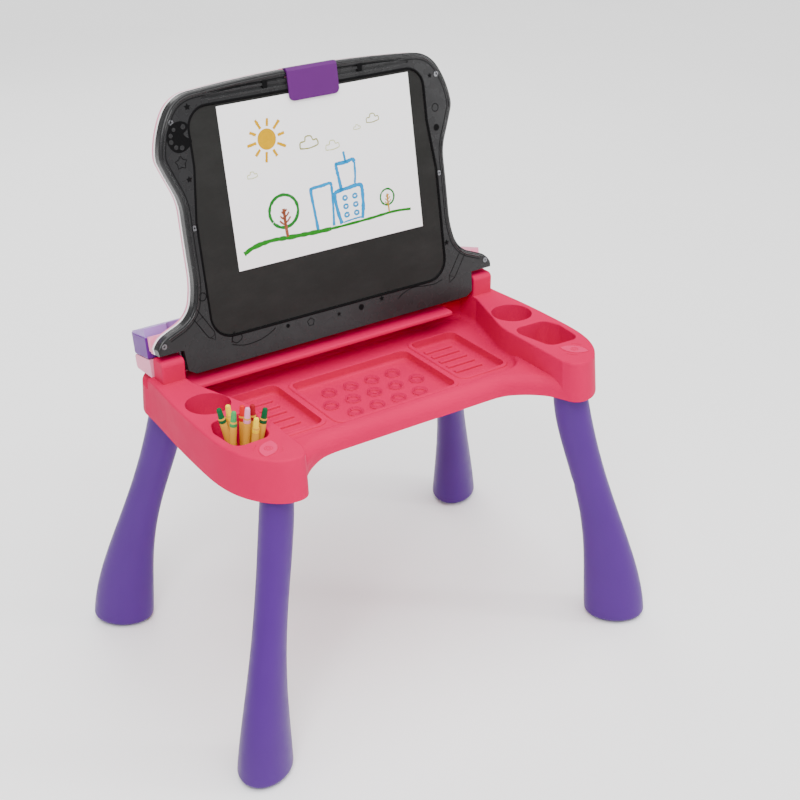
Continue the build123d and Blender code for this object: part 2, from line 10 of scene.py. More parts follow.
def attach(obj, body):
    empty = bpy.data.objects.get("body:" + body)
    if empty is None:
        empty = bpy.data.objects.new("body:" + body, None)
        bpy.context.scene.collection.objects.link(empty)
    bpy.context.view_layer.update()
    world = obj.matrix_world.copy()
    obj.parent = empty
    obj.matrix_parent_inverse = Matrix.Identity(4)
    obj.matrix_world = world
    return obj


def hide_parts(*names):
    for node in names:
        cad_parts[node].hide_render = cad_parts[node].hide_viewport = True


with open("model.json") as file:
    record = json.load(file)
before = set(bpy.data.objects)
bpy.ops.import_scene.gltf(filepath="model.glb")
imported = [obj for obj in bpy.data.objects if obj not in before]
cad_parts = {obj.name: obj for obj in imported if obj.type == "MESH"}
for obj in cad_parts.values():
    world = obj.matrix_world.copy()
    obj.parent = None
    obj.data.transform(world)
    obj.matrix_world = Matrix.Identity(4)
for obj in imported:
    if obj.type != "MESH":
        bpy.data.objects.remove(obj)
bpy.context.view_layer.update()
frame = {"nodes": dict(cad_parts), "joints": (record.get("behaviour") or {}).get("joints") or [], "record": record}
nodes = frame["nodes"]
record = frame["record"]
MM = 0.001
ARM_TOP, RECESS_FLOOR, BIN_FLOOR = 403, 357, 357.2

# ---- the lid's plane: u to the right, v up the board, w out of the black face, in millimetres --------
LID_TILT = math.radians(10.4)
HINGE_V, HINGE_W = -30.7, -14.0
LID_DEPTH = 24
PANEL_RISE, PANEL_RUN = 40, 62
PANEL_FOOT_V, PANEL_FOOT_DEPTH = 27, 54
hinge = Vector(next(joint["pos_m"] for joint in frame["joints"] if joint["name"] == "lid_hinge"))
LID_U = Vector((1, 0, 0))
LID_V = Vector((0, math.sin(LID_TILT), math.cos(LID_TILT)))
LID_W = Vector((0, -math.cos(LID_TILT), math.sin(LID_TILT)))
LID_ORIGIN = hinge - LID_V * HINGE_V * MM - LID_W * HINGE_W * MM


def placement(origin, x_axis, z_axis):
    """Matrix of a drawing plane whose drawings are in millimetres."""
    z = z_axis.normalized()
    x = x_axis.normalized()
    y = z.cross(x)
    matrix = Matrix((x, y, z)).transposed().to_4x4()
    return Matrix.Translation(origin) @ matrix @ Matrix.Scale(MM, 4)


FACE = placement(LID_ORIGIN, LID_U, LID_W)
DESKTOP = placement(LID_ORIGIN - LID_W * LID_DEPTH * MM, LID_U, -LID_W)
PANEL_LEAN = math.atan2(PANEL_RISE, PANEL_RUN)
PANEL_NORMAL = LID_V * math.sin(PANEL_LEAN) - LID_W * math.cos(PANEL_LEAN)
PANEL_POINT = LID_ORIGIN + LID_V * PANEL_FOOT_V * MM - LID_W * PANEL_FOOT_DEPTH * MM
PANEL_Y = PANEL_NORMAL.cross(LID_U)
PANEL_TURN = Matrix((LID_U, PANEL_Y, PANEL_NORMAL)).transposed().to_4x4()
PANEL = Matrix.Translation(PANEL_POINT) @ PANEL_TURN @ Matrix.Scale(MM, 4)


# ---- materials ---------------------------------------------------------------------------------------
def linear(rgb):
    """Linear colour from 8-bit values."""
    return tuple((c / 255 / 12.92) if c <= 10 else ((c / 255 + 0.055) / 1.055) ** 2.4 for c in rgb) + (1.0,)


def scaled(color, factor):
    """The same colour, lighter or darker."""
    return tuple(min(1.0, c * factor) for c in color[:3]) + (1.0,)


class Surface:
    """A material under construction: a Principled shader and short ways to feed it."""

    EDGE_STARTS, EDGE_FULL = 0.985, 0.87

    def __init__(self, name, color, roughness, **sockets):
        self.material = bpy.data.materials.new(name)
        self.material.use_nodes = True
        self.nodes = self.material.node_tree.nodes
        self.links = self.material.node_tree.links
        self.shader = self.nodes["Principled BSDF"]
        self.shader.inputs["Base Color"].default_value = color
        self.shader.inputs["Roughness"].default_value = roughness
        for key, value in sockets.items():
            self.shader.inputs[key.replace("_", " ")].default_value = value
        self.place = self.nodes.new("ShaderNodeTexCoord").outputs["Object"]

    def noise(self, scale, detail=3.0, roughness=0.5, stretch=None):
        node = self.nodes.new("ShaderNodeTexNoise")
        node.inputs["Scale"].default_value = scale
        node.inputs["Detail"].default_value = detail
        node.inputs["Roughness"].default_value = roughness
        source = self.place
        if stretch:
            mapping = self.nodes.new("ShaderNodeMapping")
            mapping.inputs["Scale"].default_value = stretch
            self.links.new(source, mapping.inputs["Vector"])
            source = mapping.outputs["Vector"]
        self.links.new(source, node.inputs["Vector"])
        return node.outputs["Fac"]

    def remap(self, value, low, high, out_low, out_high):
        node = self.nodes.new("ShaderNodeMapRange")
        ends = {"From Min": low, "From Max": high, "To Min": out_low, "To Max": out_high}
        for socket, number in ends.items():
            node.inputs[socket].default_value = number
        self.links.new(value, node.inputs["Value"])
        return node.outputs["Result"]

    def mix(self, factor, first, second):
        node = self.nodes.new("ShaderNodeMix")
        node.data_type = "RGBA"
        self.links.new(factor, node.inputs["Factor"])
        for socket, value in zip((node.inputs[6], node.inputs[7]), (first, second)):
            if isinstance(value, tuple):
                socket.default_value = value
            else:
                self.links.new(value, socket)
        return node.outputs[2]

    def edges(self, radius, amount):
        """Mask along the convex and concave edges of a piece."""
        bevel = self.nodes.new("ShaderNodeBevel")
        bevel.samples = 4
        bevel.inputs["Radius"].default_value = radius
        dot = self.nodes.new("ShaderNodeVectorMath")
        dot.operation = "DOT_PRODUCT"
        self.links.new(bevel.outputs["Normal"], dot.inputs[0])
        self.links.new(self.nodes.new("ShaderNodeNewGeometry").outputs["Normal"], dot.inputs[1])
        return self.remap(dot.outputs["Value"], self.EDGE_STARTS, self.EDGE_FULL, 0.0, amount)

    def color(self, value):
        self.links.new(value, self.shader.inputs["Base Color"])

    def rough(self, value):
        self.links.new(value, self.shader.inputs["Roughness"])

    def bump(self, height, distance, strength=1.0, rounding=0.0):
        node = self.nodes.new("ShaderNodeBump")
        node.inputs["Distance"].default_value = distance
        node.inputs["Strength"].default_value = strength
        self.links.new(height, node.inputs["Height"])
        if rounding:
            bevel = self.nodes.new("ShaderNodeBevel")
            bevel.samples = 4
            bevel.inputs["Radius"].default_value = rounding
            self.links.new(bevel.outputs["Normal"], node.inputs["Normal"])
        self.links.new(node.outputs["Normal"], self.shader.inputs["Normal"])


def moulded(name, rgb, roughness=0.4, tone=0.06, grain=0.00003, grain_scale=1400, rounding=0.0006, edge_wear_and_highlight=0.3,
            shine=0.3, **sockets):
    """Injection-moulded plastic: slow drifts of tone, a fine spark-eroded texture and paler edges, partly rubbed
    wear and partly a painted highlight.
    """
    base = linear(rgb)
    surface = Surface(name, base, roughness, Specular_IOR_Level=shine, **sockets)
    drift = surface.remap(surface.noise(9, 2), 0.3, 0.7, 0.0, 1.0)
    body = surface.mix(drift, scaled(base, 1 - tone), scaled(base, 1 + tone))
    # Paler colour along every edge: partly rubbed wear, partly a painted highlight standing in for the glints of
    # the plastic.
    pale = tuple(min(1.0, c * 1.3 + 0.03) for c in base[:3]) + (1.0,)
    surface.color(surface.mix(surface.edges(0.0012, edge_wear_and_highlight), body, pale))
    surface.rough(surface.remap(surface.noise(60, 4), 0.3, 0.7, roughness - 0.04, roughness + 0.06))
    surface.bump(surface.noise(grain_scale, 3), grain, 0.6, rounding)
    return surface.material


def metal(name, rgb, roughness):
    """Metal, lightly brushed."""
    base = linear(rgb)
    surface = Surface(name, base, roughness, Metallic=1.0)
    brushed = surface.noise(900, 3, 0.6, (1, 12, 12))
    surface.color(surface.mix(surface.noise(40, 2), scaled(base, 0.88), scaled(base, 1.08)))
    surface.rough(surface.remap(brushed, 0.3, 0.7, roughness - 0.06, roughness + 0.1))
    surface.bump(brushed, 0.00001, 0.4)
    return surface.material


def board_surface():
    """Matte chalkboard with a faint haze of rubbed-out chalk."""
    base = linear((36, 36, 35))
    surface = Surface("chalkboard", base, 0.7, Specular_IOR_Level=0.08)
    haze = surface.remap(surface.noise(16, 5, 0.65, (1, 1, 2.2)), 0.42, 0.75, 0.0, 0.35)
    surface.color(surface.mix(haze, scaled(base, 0.96), linear((50, 50, 49))))
    surface.rough(surface.remap(surface.noise(300, 3), 0.3, 0.7, 0.56, 0.7))
    surface.bump(surface.noise(2600, 4), 0.00004, 0.7)
    return surface.material


def paper_surface(name, rgb):
    """Paper or card with a trace of fibre and a slight cockle."""
    base = linear(rgb)
    surface = Surface(name, base, 0.85)
    fibre = surface.noise(900, 6, 0.7)
    surface.color(surface.mix(fibre, scaled(base, 0.985), base))
    surface.bump(surface.mix(surface.noise(12, 2), (0, 0, 0, 1), (1, 1, 1, 1)), 0.0006, 0.35)
    return surface.material


def wax(name, rgb, cover=0.5):
    """Crayon drawn on paper: the wax misses the hollows of the paper, so white shows through."""
    base = linear(rgb)
    surface = Surface(name, base, 0.7, Specular_IOR_Level=0.03)
    tooth = surface.remap(surface.noise(1100, 4, 0.75), cover - 0.16, cover + 0.05, 0.0, 1.0)
    waxy = surface.mix(surface.noise(180, 3), scaled(base, 0.86), scaled(base, 1.12))
    surface.color(surface.mix(tooth, linear((243, 243, 242)), waxy))
    surface.bump(tooth, 0.00004, 0.5)
    return surface.material


def circuit():
    """Green circuit board with paler tracks."""
    base = linear((18, 96, 48))
    surface = Surface("circuit_board", base, 0.35)
    tracks = surface.nodes.new("ShaderNodeTexBrick")
    tracks.inputs["Scale"].default_value = 160
    tracks.inputs["Color1"].default_value = base
    tracks.inputs["Color2"].default_value = scaled(base, 1.15)
    tracks.inputs["Mortar"].default_value = linear((120, 150, 60))
    surface.links.new(surface.place, tracks.inputs["Vector"])
    surface.color(tracks.outputs["Color"])
    return surface.material


def clear_plastic():
    """Clear window."""
    surface = Surface("clear_window", linear((216, 226, 236)), 0.05, IOR=1.49, Transmission_Weight=0.92)
    surface.bump(surface.noise(30, 2), 0.00002, 0.3)
    return surface.material


def rubber(name, rgb):
    """Matte rubber or foam."""
    base = linear(rgb)
    surface = Surface(name, base, 0.8)
    surface.color(surface.mix(surface.noise(120, 4), scaled(base, 0.85), scaled(base, 1.15)))
    surface.bump(surface.noise(1500, 3), 0.00006, 0.8)
    return surface.material


SLOTS = {
    "pink_tray": moulded("pink_tray", (197, 1, 73), 0.46, 0.05, edge_wear_and_highlight=0.4, shine=0.03),
    "purple_leg": moulded("purple_leg", (72, 30, 114), 0.38, 0.05, shine=0.18),
    "grey_rubber": rubber("grey_rubber", (70, 70, 74)),
    "black_frame": moulded("black_frame", (35, 35, 36), 0.26, 0.12, grain=0.00001, edge_wear_and_highlight=0.3, shine=0.32),
    "chalkboard": board_surface(),
    "white_rim": moulded("white_rim", (248, 244, 246), 0.3, 0.02, edge_wear_and_highlight=0.0),
    "light_pink": moulded("light_pink", (234, 140, 172), 0.36, 0.04),
    "steel": metal("steel", (138, 138, 142), 0.32),
    "paper": paper_surface("paper", (250, 249, 250)),
    "card": paper_surface("card", (238, 240, 228)),
    "purple_clip": moulded("purple_clip", (84, 26, 98), 0.44, 0.05, shine=0.16),
    "lilac": moulded("lilac", (162, 122, 196), 0.38, 0.04, shine=0.22),
    "handset_purple": moulded("handset_purple", (98, 36, 132), 0.36, 0.05, shine=0.22),
    "clear_window": clear_plastic(),
    "circuit_board": circuit(),
    "led_dots": moulded("led_dots", (150, 30, 24), 0.4, 0.1),
    "silicone": rubber("silicone", (205, 204, 198)),
    "cell_wrap": metal("cell_wrap", (70, 96, 150), 0.34),
    "speaker_black": rubber("speaker_black", (26, 26, 26)),
    "key_yellow": moulded("key_yellow", (244, 196, 40), 0.34, 0.04),
    "key_teal": moulded("key_teal", (30, 168, 176), 0.34, 0.04),
    "key_white": moulded("key_white", (240, 240, 238), 0.34, 0.02),
    "key_green": moulded("key_green", (112, 186, 70), 0.34, 0.04),
    "crayon_wax": paper_surface("crayon_wax", (212, 172, 88)),
}
for part in record["subparts"]:
    slots = nodes[part["node"]].material_slots
    for slot in slots:
        slot.material = SLOTS[part["material_slot"]]

# Near-black for the frame's reliefs, which are drawn darker than the frame, and for painted shade: the grooves
# round the board and inside the rim, the screws' cross recesses and the clip rail's notches.
dark_relief_and_shade = moulded("relief_and_shade_black", (13, 13, 14), 0.55, 0.1, edge_wear_and_highlight=0.0, shine=0.04)
bead_black = moulded("bead_black", (26, 26, 27), 0.16, 0.05, edge_wear_and_highlight=0.2, shine=0.42)
ink_white = moulded("print_white", (244, 244, 244), 0.4, 0.02)
ink_dark = moulded("print_dark", (52, 38, 74), 0.45, 0.04)
# Lighter pink for the lens on each arm's tip: a painted highlight, the sheen of the tip's glossy top.
lens_highlight_pink = moulded("lens_highlight_pink", (212, 30, 92), 0.42, 0.04, shine=0.1)
# Darker pink for the feet of the raised rings: painted shade in the crease where each ring meets the recess floor.
ring_foot_shade_pink = moulded("ring_foot_shade_pink", (176, 2, 66), 0.5, 0.04, edge_wear_and_highlight=0.0, shine=0.02)


# ---- ways of drawing ---------------------------------------------------------------------------------
def arc(center, radius, start=0.0, end=360.0, count=48, squash=1.0):
    """Points on an arc; a full circle leaves its last point out."""
    full = abs(end - start) >= 360
    steps = count if full else count - 1
    angles = [math.radians(start + (end - start) * k / steps) for k in range(count)]
    return [(center[0] + radius * math.cos(a), center[1] + radius * squash * math.sin(a)) for a in angles]


def star(center, radius, inner=0.5, points=5, turn=90.0):
    """Corners of a star, the first pointing up."""
    spokes = [radius if k % 2 == 0 else radius * inner for k in range(2 * points)]
    angles = [math.radians(turn + 180 * k / points) for k in range(2 * points)]
    return [(center[0] + r * math.cos(a), center[1] + r * math.sin(a)) for r, a in zip(spokes, angles)]


def rounded_box(center, width, height, radius):
    """Rectangle with rounded corners."""
    corners = [(1, 1, 0), (-1, 1, 90), (-1, -1, 180), (1, -1, 270)]
    points = []
    for sx, sy, start in corners:
        middle = (center[0] + sx * (width / 2 - radius), center[1] + sy * (height / 2 - radius))
        points += arc(middle, radius, start, start + 90, 8)
    return points


def smooth(points, closed=False, steps=8):
    """Catmull-Rom curve through points."""
    last = len(points)
    result = []
    for k in range(last if closed else last - 1):
        if closed:
            p = [Vector(points[(k + j - 1) % last]) for j in range(4)]
        else:
            p = [Vector(points[min(max(k + j - 1, 0), last - 1)]) for j in range(4)]
        for step in range(steps):
            t = step / steps
            square = (2 * p[0] - 5 * p[1] + 4 * p[2] - p[3]) * t * t
            cube = (3 * p[1] - p[0] - 3 * p[2] + p[3]) * t ** 3
            result.append(tuple(0.5 * (2 * p[1] + (p[2] - p[0]) * t + square + cube)))
    if not closed:
        result.append(tuple(points[-1]))
    return result


def tangent_arcs(points, heading, steps=10):
    """Arcs from point to point that run smoothly into each other."""
    result = []
    direction = Vector(heading).normalized()
    for start, end in zip(points, points[1:]):
        start, chord = Vector(start), Vector(end) - Vector(start)
        half = math.atan2(direction.x * chord.y - direction.y * chord.x, direction.dot(chord))
        for step in range(steps):
            part = step / steps
            reach = chord.length * (math.sin(half * part) / math.sin(half) if abs(half) > 1e-4 else part)
            swing = Matrix.Rotation(half * part, 2)
            result.append(tuple(start + (swing @ direction) * reach))
        direction = Matrix.Rotation(2 * half, 2) @ direction
    result.append(tuple(points[-1]))
    return result


def finished(name, mesh, material, body, bevel=0.0, angle=35):
    """A piece from a mesh, smooth where it is round, riding on its body."""
    piece = bpy.data.objects.new(name, mesh)
    bpy.context.scene.collection.objects.link(piece)
    mesh.materials.append(material)
    mesh.shade_smooth()
    mesh.set_sharp_from_angle(angle=math.radians(angle))
    if bevel:
        modifier = piece.modifiers.new("edges", "BEVEL")
        modifier.width = bevel * MM
        modifier.segments = 2
        modifier.limit_method = "ANGLE"
    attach(piece, body)
    return piece


def settled(name, bm, matrix):
    """The mesh of a drawing, moved from its drawing plane into the scene."""
    bmesh.ops.recalc_face_normals(bm, faces=bm.faces)
    bm.transform(matrix)
    mesh = bpy.data.meshes.new(name)
    bm.to_mesh(mesh)
    bm.free()
    return mesh


def plates(name, outlines, low, high, matrix, material, body, bevel=0.12):
    """Flat shapes with straight sides, all in one piece."""
    bm = bmesh.new()
    for outline in outlines:
        face = bm.faces.new([bm.verts.new((x, y, low)) for x, y in outline])
        face.normal_update()
        if face.normal.z > 0:
            face.normal_flip()
        lifted = bmesh.ops.extrude_face_region(bm, geom=[face], use_keep_orig=True)["geom"]
        top = [v for v in lifted if isinstance(v, bmesh.types.BMVert)]
        bmesh.ops.translate(bm, vec=(0, 0, high - low), verts=top)
    return finished(name, settled(name, bm, matrix), material, body, bevel)


def beads(name, lines, radius, height, matrix, material, body, flat=0.6, sides=10):
    """Rounded lines lying on a plane: each is (points, closed)."""
    bm = bmesh.new()
    for points, is_closed in lines:
        count = len(points)
        rings = []
        for k, (x, y) in enumerate(points):
            if is_closed:
                before, after = Vector(points[k - 1]), Vector(points[(k + 1) % count])
            else:
                before, after = Vector(points[max(k - 1, 0)]), Vector(points[min(k + 1, count - 1)])
            along = (after - before).normalized()
            side = Vector((-along.y, along.x))
            taper = 1.0 if is_closed or 0 < k < count - 1 else 0.55
            ring = []
            for step in range(sides):
                a = 2 * math.pi * step / sides
                offset = side * radius * taper * math.cos(a)
                rise = radius * flat * taper * math.sin(a)
                ring.append(bm.verts.new((x + offset.x, y + offset.y, height + rise)))
            rings.append(ring)
        pairs = list(zip(rings, rings[1:] + rings[:1])) if is_closed else list(zip(rings, rings[1:]))
        for first, second in pairs:
            for step in range(sides):
                following = (step + 1) % sides
                bm.faces.new((first[step], first[following], second[following], second[step]))
        if not is_closed:
            bm.faces.new(rings[0])
            bm.faces.new(rings[-1])
    return finished(name, settled(name, bm, matrix), material, body, angle=60)


STROKE_BOLD = 1.6


def strokes(name, lines, height, matrix, material, body, seed):
    """Hand-drawn crayon lines: (points, width); each wanders and its width breathes."""
    rng = random.Random(seed)
    bm = bmesh.new()
    for points, width in lines:
        previous = None
        for k, (x, y) in enumerate(points):
            before, after = Vector(points[max(k - 1, 0)]), Vector(points[min(k + 1, len(points) - 1)])
            along = after - before
            along = along.normalized() if along.length else Vector((1, 0))
            side = Vector((-along.y, along.x)) * width * STROKE_BOLD / 2 * rng.uniform(0.8, 1.15)
            shift = Vector((rng.uniform(-0.12, 0.12), rng.uniform(-0.12, 0.12)))
            here = Vector((x, y)) + shift
            pair = [bm.verts.new((*(here + side), height)), bm.verts.new((*(here - side), height))]
            if previous:
                bm.faces.new((previous[0], pair[0], pair[1], previous[1]))
            previous = pair
    return finished(name, settled(name, bm, matrix), material, body)


def lathe(name, profile, matrix, material, body, sides=32):
    """Surface of revolution about the drawing plane's third axis; profile is (radius, height)."""
    bm = bmesh.new()
    rings = [[bm.verts.new((r * math.cos(2 * math.pi * k / sides), r * math.sin(2 * math.pi * k / sides), z))
              for k in range(sides)] for r, z in profile]
    for first, second in zip(rings, rings[1:]):
        for k in range(sides):
            bm.faces.new((first[k], first[(k + 1) % sides], second[(k + 1) % sides], second[k]))
    bm.faces.new(rings[0])
    bm.faces.new(rings[-1])
    return finished(name, settled(name, bm, matrix), material, body, angle=40)


def lettering(name, text, size, at, height, matrix, material, body):
    """A raised numeral."""
    curve = bpy.data.curves.new(name + "_font", "FONT")
    curve.body = text
    curve.size = size
    curve.align_x = "CENTER"
    curve.align_y = "CENTER"
    curve.extrude = 0.16
    curve.bevel_depth = 0.08
    holder = bpy.data.objects.new(name + "_font", curve)
    mesh = bpy.data.meshes.new_from_object(holder)
    bpy.data.objects.remove(holder)
    mesh.transform(matrix @ Matrix.Translation((at[0], at[1], height)))
    mesh.materials.clear()
    return finished(name, mesh, material, body)


# ---- black face of the lid ---------------------------------------------------------------------------
LID_SIDE = [(0, 301), (162, 294), (197, 272.5), (213.4, 226.5), (212, 214), (199, 181), (193.2, 151),
            (193.4, 80), (198, 44), (222, 18), (240, 11), (255, -3)]


def lid_outline(inset):
    """Crown, shoulders and waist of the lid, moved inwards."""
    right = [Vector(p) for p in tangent_arcs(LID_SIDE[:-1], (1, 0))]
    moved = []
    for k, point in enumerate(right):
        along = (right[min(k + 1, len(right) - 1)] - right[max(k - 1, 0)]).normalized()
        moved.append(point + Vector((along.y, -along.x)) * inset)
    left = [(-x, y) for x, y in reversed(moved[1:])]
    return left + [tuple(p) for p in moved]


def board_outline(grow):
    """Outline of the chalkboard, moved outwards."""
    half = [(0, -8 - grow), *arc((150, 20), 28 + grow, 270, 360, 10), (178 + grow, 140), (170 + grow, 206),
            *arc((145, 250), 25 + grow, 0, 90, 10), (0, 275 + grow)]
    return half + [(-x, y) for x, y in reversed(half[1:-1])]


beads("frame_rim_bead", [(lid_outline(4.5), False)], 1.3, -0.1, FACE, bead_black, "lid")
# A thin near-black bead inside the rim: painted shade of the fine groove there.
beads("frame_rim_groove_shade", [(lid_outline(8.0), False)], 0.55, -0.05, FACE, dark_relief_and_shade, "lid")
# A near-black bead round the board: painted shade of the groove between board and frame.
beads("board_groove_shade", [(board_outline(1.3), True)], 1.5, -0.3, FACE, dark_relief_and_shade, "lid",
      flat=0.5)

solid_stars = [star((-168.8, 277.3), 4.6), star((-180, 193), 4.4), star((3, -19), 3.4), star((71, -14), 4.2),
               star((184, 38), 4.4), star((182, 262), 3.6)]
dots = [arc((-74, -16), 2.6), arc((38, -18), 4.0), arc((185, 194), 4.4)]
plates("frame_relief_solid", solid_stars + dots, -0.2, 0.18, FACE, dark_relief_and_shade, "lid", 0.08)

palette = smooth([(-172, 258), (-180, 262.5), (-191, 261), (-199, 253), (-201, 243), (-198, 233),
                  (-190, 226.5), (-180, 227), (-171, 233), (-169.5, 239), (-175, 242.5), (-178.5, 247.5),
                  (-173, 252)], True)
plates("frame_relief_palette", [palette], -0.2, 0.18, FACE, dark_relief_and_shade, "lid", 0.08)
wells = [(-178, 255.5, 3.0), (-190.5, 254, 2.4), (-195.5, 247.5, 2.6), (-196, 240, 2.8), (-190.5, 233, 2.7),
         (-183, 231.5, 2.9)]
plates("frame_relief_paints", [arc((u, v), r, count=24) for u, v, r in wells], 0.1, 0.32, FACE,
       SLOTS["black_frame"], "lid", 0.06)

outline_shapes = [
    (star((-187, 214), 8.2, 0.62), True),
    (star((-40, -19), 5.4, 0.8), True),
    (arc((-186, 49), 5.0), True),
    (arc((186, 220), 5.0), True),
    (smooth([(-156, -18), (-152, -9), (-143, -8), (-141, -15), (-149, -19.5), (-155, -14), (-150, -4)]),
     False),
    (smooth([(-156, -20), (-138, -25), (-118, -24), (-104, -20), (-92, -14)]), False),
    (smooth([(96, -21), (106, -15), (122, -11), (141, -13), (158, -14), (171, -11)]), False),
    (smooth([(203, 29), (210, 20), (222, 12)]), False),
]
crayon_relief = [(-206, 30), (-196, 35), (-177, 2), (-177, -8), (-186, -3), (-206, 30)]
pencil_relief = [(182, -18), (184, -8), (206, 23), (214, 18), (192, -13), (182, -18)]
for outline in (crayon_relief, pencil_relief):
    outline_shapes.append((outline[:-1], True))
outline_shapes.append(([(-198, 20), (-189, 25)], False))
outline_shapes.append(([(-184, -5), (-176, -1)], False))
outline_shapes.append(([(184, -8), (192, -13)], False))
beads("frame_relief_lines", outline_shapes, 0.55, 0.0, FACE, dark_relief_and_shade, "lid", flat=0.5)

# The rail stops are blocks in the near-black, which paints the shade of the notches they sit in.
rail_stops = [rounded_box((x, 288), 7, 9.5, 1.2) for x in (-62, 76)]
plates("clip_rail_stops", rail_stops, -1.9, 0.3, FACE, dark_relief_and_shade, "lid", 0.2)
rails = [([(-140, 281.2), (-36, 281.2)], False), ([(47, 281.2), (140, 281.2)], False),
         ([(-146, 288), (-68, 288)], False), ([(84, 288), (146, 288)], False)]
beads("clip_rail_beads", rails, 0.9, -0.1, FACE, bead_black, "lid", flat=0.8)

# Near-black crosses on the screw heads: painted shade of their cross recesses.
crosses = []
for u, v in ((246, 0), (182.5, 133.9), (192.5, 262.7)):
    for s in (-1, 1):
        crosses += [rounded_box((s * u, v), 3.6, 0.8, 0.3), rounded_box((s * u, v), 0.8, 3.6, 0.3)]
plates("lid_screw_cross_shades", crosses, 0.05, 0.14, FACE, dark_relief_and_shade, "lid", 0.0)

# ---- the drawing on the paper ------------------------------------------------------------------------
PAPER_W = -0.72
SUN = (-68.6, 222)


def ring(center, radius, start=0.0, end=360.0, squash=1.0):
    return arc(center, radius, start, end, 40, squash)


def cloud(center, scale):
    """Outline of a cloud, about 25 mm wide at scale 1."""
    bumps = [(-11, -4), (-10, 3), (-4, 4), (-2, 9), (5, 9), (8, 4), (13, 4), (14, -2), (8, -4), (0, -5),
             (-11, -4)]
    return smooth([(center[0] + x * scale, center[1] + y * scale) for x, y in bumps])


def sun_strokes(center):
    """Ten rays, long and short in turn."""
    lines = []
    for k in range(10):
        a = math.radians(36 * k + 9)
        reach = (15.4, 28.5) if k % 2 else (15.8, 25.5)
        lines.append((smooth([(center[0] + r * math.cos(a), center[1] + r * math.sin(a)) for r in
                              (reach[0], sum(reach) / 2, reach[1])]), 2.3))
    return lines


def tree_strokes(foot, height, scale):
    """A trunk with six branches."""
    x, y = foot
    stem = smooth([(x, y), (x - 0.8 * scale, y + height * 0.45), (x - 1.2 * scale, y + height)])
    trunk = [(stem, 2.6 * scale)]
    branches = ((-1, 0.42, 8), (1, 0.5, 8), (-1, 0.62, 6.5), (1, 0.7, 6.5), (-1, 0.82, 4), (1, 0.88, 4))
    for side, start, reach in branches:
        base = (x - scale * start, y + height * start)
        tip = (base[0] + side * reach * scale, base[1] + reach * 0.85 * scale)
        bend = ((base[0] + tip[0]) / 2, base[1] + reach * 0.3 * scale)
        trunk.append((smooth([base, bend, tip]), 1.5 * scale))
    return trunk


wax_yellow = wax("wax_yellow", (194, 148, 0), 0.2)
strokes("drawing_sun", sun_strokes(SUN), PAPER_W, FACE, wax_yellow, "lid", 1)
plates("drawing_sun_disc", [arc(SUN, 13)], PAPER_W - 0.05, PAPER_W + 0.005, FACE, wax_yellow, "lid",
       0.0)
clouds = [(cloud((-12, 206), 1.05), 1.1), (cloud((86, 221), 0.75), 0.8)]
strokes("drawing_clouds", clouds, PAPER_W, FACE, wax("wax_olive", (130, 130, 24), 0.38), "lid", 2)
pale_clouds = [(cloud((22, 197), 0.8), 0.8), (cloud((62, 214), 0.4), 0.6), (cloud((-96, 181), 0.55), 0.7)]
strokes("drawing_pale_clouds", pale_clouds, PAPER_W, FACE, wax("wax_pale", (176, 180, 90), 0.46), "lid",
        3)
crowns = [(ring((-58, 130), 20.5, 215, 573), 2.6), (ring((97, 118), 10.5, 240, 598), 1.6)]
strokes("drawing_crowns", crowns, PAPER_W, FACE, wax("wax_green", (34, 112, 40), 0.32), "lid", 4)
ground = smooth([(-121, 88), (-106, 94), (-80, 97), (-50, 95.5), (0, 94), (60, 95), (104, 97), (132, 95)])
split = len(ground) * 3 // 5
strokes("drawing_ground", [(ground[:split], 3.6), (ground[split - 1:], 2.2)], PAPER_W + 0.01, FACE,
        wax("wax_ground", (38, 118, 34), 0.3), "lid", 5)
trunks = tree_strokes((-57, 97), 36, 1.0)
strokes("drawing_trunk", trunks, PAPER_W + 0.02, FACE, wax("wax_brown", (134, 72, 48), 0.34), "lid",
        6)
strokes("drawing_small_trunk", tree_strokes((98, 98), 24, 0.6), PAPER_W + 0.02, FACE,
        wax("wax_tan", (176, 130, 28), 0.34), "lid", 7)
towers = [
    (smooth([(-12, 96), (-14, 120), (-16, 146), (-13, 150), (2, 151), (13, 152), (15, 148)], steps=6), 2.7),
    (smooth([(15, 148), (14, 122), (12, 97)]), 2.3),
    (smooth([(24, 97), (20, 114), (18, 134), (22, 139), (40, 141), (56, 142), (60, 136), (59, 114),
             (56, 98)]), 3.2),
    (smooth([(29, 139), (27, 156), (25, 172), (28, 174), (40, 174), (50, 176), (53, 172)]), 3.0),
    (smooth([(53, 172), (52, 156), (50, 145)]), 1.9),
    (smooth([(39.5, 174), (39, 181), (38, 188)]), 2.2),
    (smooth([(27, 98), (40, 99.5), (54, 100)]), 1.3),
]
towers += [(ring((x, y), 3.0, 20, 376, 0.85), 1.7) for x in (33, 48) for y in (107, 118, 129)]
strokes("drawing_towers", towers, PAPER_W, FACE, wax("wax_blue", (0, 132, 190), 0.24), "lid", 8)

# ---- crayons -----------------------------------------------------------------------------------------
CRAYON_R, CRAYON_TIP = 4.3, 13.0
